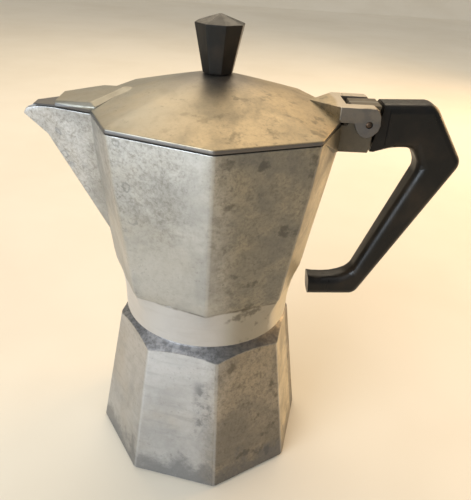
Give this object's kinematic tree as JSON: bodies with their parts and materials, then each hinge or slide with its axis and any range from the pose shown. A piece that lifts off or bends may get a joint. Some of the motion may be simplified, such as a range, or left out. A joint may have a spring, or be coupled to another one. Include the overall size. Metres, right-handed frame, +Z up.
{
  "type": "moka pot",
  "caption": "Octagonal stovetop coffee pot: boiler, drop-in funnel, filter, screw-on collector with spout and side handle, hinged lid with knob.",
  "frame": {"origin": "centre of the boiler's flat base", "axes": "+Z up, +X towards the handle, -X towards the spout, +Y to the back"},
  "size_m": [0.1964, 0.1168, 0.217],
  "materials": {
    "boiler_aluminium": "aged turned casting, dull, with dark blotches",
    "collector_aluminium": "aged casting, mottled, with a turned collar",
    "lid_aluminium": "aged satin casting",
    "spun_aluminium": "thin spun sheet, satin",
    "brass": "machined, dulled",
    "steel": "plain",
    "aged_steel": "dark brown, rusted",
    "bakelite": "black phenolic moulding, semi-gloss, worn",
    "rubber": "off-white, dull",
    "fibre": "red-brown fibre"
  },
  "bodies": {
    "boiler": {"boiler": "boiler_aluminium", "valve_body": "brass", "valve_washer": "fibre", "valve_seat": "brass", "valve_spring": "steel"},
    "valve_plunger": {"valve_plunger": "steel"},
    "funnel": {"funnel": "spun_aluminium", "funnel_screen": "spun_aluminium"},
    "gasket": {"gasket": "rubber"},
    "filter_plate": {"filter_plate": "spun_aluminium"},
    "collector": {"collector": "collector_aluminium", "riser_tube": "collector_aluminium", "handle": "bakelite", "hinge_pin": "aged_steel"},
    "lid": {"lid": "lid_aluminium", "knob": "bakelite", "knob_insert": "brass", "knob_washer": "steel", "knob_screw": "steel"}
  },
  "joints": [
    {"name": "valve_lift", "type": "slide", "parent": "boiler", "child": "valve_plunger", "axis": [-0.5113, 0.8594, 0], "range_m": [0, 0.0015], "stiffness_N_per_m": 800, "springref_m": -0.004, "deforming": ["valve_spring"]},
    {"name": "funnel_lift", "type": "slide", "parent": "boiler", "child": "funnel", "axis": [0, 0, 1], "range_m": [0, 0.095]},
    {"name": "top_lift", "type": "slide", "parent": "funnel", "child": "gasket", "axis": [0, 0, 1], "range_m": [0, 0.06]},
    {"name": "thread_lift", "type": "slide", "parent": "gasket", "child": "filter_plate", "axis": [0, 0, 1], "range_m": [0, 0.006]},
    {"name": "collector_turn", "type": "hinge", "parent": "filter_plate", "child": "collector", "pos_m": [0, 0, 0.09], "axis": [0, 0, 1], "range_deg": [0, 720]},
    {"name": "lid_hinge", "type": "hinge", "parent": "collector", "child": "lid", "pos_m": [0.06544, 0, 0.177], "axis": [0, 1, 0], "range_deg": [0, 100]}
  ],
  "couplings": [
    {"joint": "thread_lift", "follows": "collector_turn", "m_per_rad": 0.000477}
  ]
}
